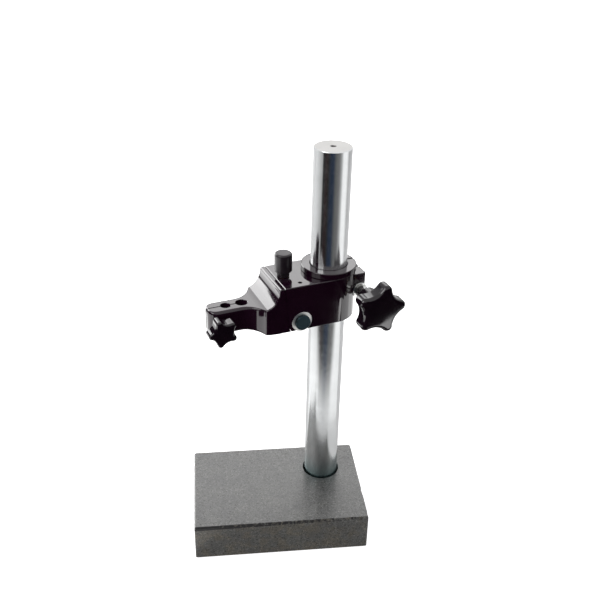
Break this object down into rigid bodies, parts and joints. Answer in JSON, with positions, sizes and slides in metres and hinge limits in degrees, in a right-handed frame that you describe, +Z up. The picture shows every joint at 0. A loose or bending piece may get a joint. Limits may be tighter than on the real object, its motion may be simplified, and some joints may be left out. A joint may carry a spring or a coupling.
{
  "type": "granite comparator stand",
  "caption": "Granite comparator stand: stone base, plated column, sliding and swinging arm with a finely tilting nose that clamps a gauge stem, and star clamp knobs.",
  "frame": {"origin": "centre of the stone base's underside", "axes": "+Z up along the column, +X along the base's long side towards the column, +Y away from the viewer to the base's rear"},
  "size_m": [0.1735, 0.1, 0.345],
  "materials": {
    "granite": "lapped grey granite",
    "column_chrome": "polished hard chrome",
    "fixing_steel": "turned steel",
    "arm_paint": "gloss black stove enamel",
    "bush_paint": "gloss black",
    "pin_steel": "blackened steel",
    "bronze": "turned bronze",
    "knob_plastic": "moulded gloss black",
    "spring_steel": "drawn wire"
  },
  "bodies": {
    "base": {"granite_base": "granite", "column": "column_chrome", "column_bolt": "fixing_steel", "column_washer": "fixing_steel"},
    "bush": {"hub_bush": "bush_paint"},
    "arm": {"arm_body": "arm_paint", "pivot_pin": "pin_steel", "pivot_pin_clip": "fixing_steel", "pin_lock_screw": "fixing_steel", "fine_adjust_bush": "bronze", "return_spring": "spring_steel", "column_clamp_washer": "fixing_steel"},
    "nose": {"nose_lever": "arm_paint", "pivot_bush": "bronze", "screw_pad": "fixing_steel", "stem_clamp_washer": "fixing_steel"},
    "fine_adjust": {"fine_adjust_knob": "knob_plastic", "fine_adjust_screw": "fixing_steel"},
    "column_clamp": {"column_clamp_knob": "knob_plastic", "column_clamp_insert": "bronze", "column_clamp_screw": "fixing_steel"},
    "stem_clamp": {"stem_clamp_knob": "knob_plastic", "stem_clamp_insert": "bronze", "stem_clamp_screw": "fixing_steel"}
  },
  "joints": [
    {"name": "column_slide", "type": "slide", "parent": "base", "child": "bush", "axis": [0, 0, 1], "range_m": [-0.16, 0.095]},
    {"name": "arm_swing", "type": "hinge", "parent": "bush", "child": "arm", "pos_m": [0.042, 0.0197, 0.203], "axis": [0, 0, 1], "continuous": true},
    {"name": "nose_tilt", "type": "hinge", "parent": "arm", "child": "nose", "pos_m": [0.01159, 0.0104, 0.2102], "axis": [0.2924, -0.9563, 0], "range_deg": [-0.4, 1.4]},
    {"name": "fine_adjust_turn", "type": "hinge", "parent": "arm", "child": "fine_adjust", "pos_m": [0.00394, 0.00806, 0.2425], "axis": [0, 0, -1], "range_deg": [-40, 140]},
    {"name": "column_clamp_turn", "type": "hinge", "parent": "arm", "child": "column_clamp", "pos_m": [0.06304, 0.02613, 0.2255], "axis": [0.2924, -0.9563, 0], "range_deg": [0, 360]},
    {"name": "stem_clamp_turn", "type": "hinge", "parent": "nose", "child": "stem_clamp", "pos_m": [-0.05124, -0.00881, 0.2132], "axis": [0.2924, -0.9563, 0], "range_deg": [0, 360]}
  ],
  "couplings": [
    {"joint": "nose_tilt", "follows": "fine_adjust_turn", "ratio": 0.00995}
  ]
}
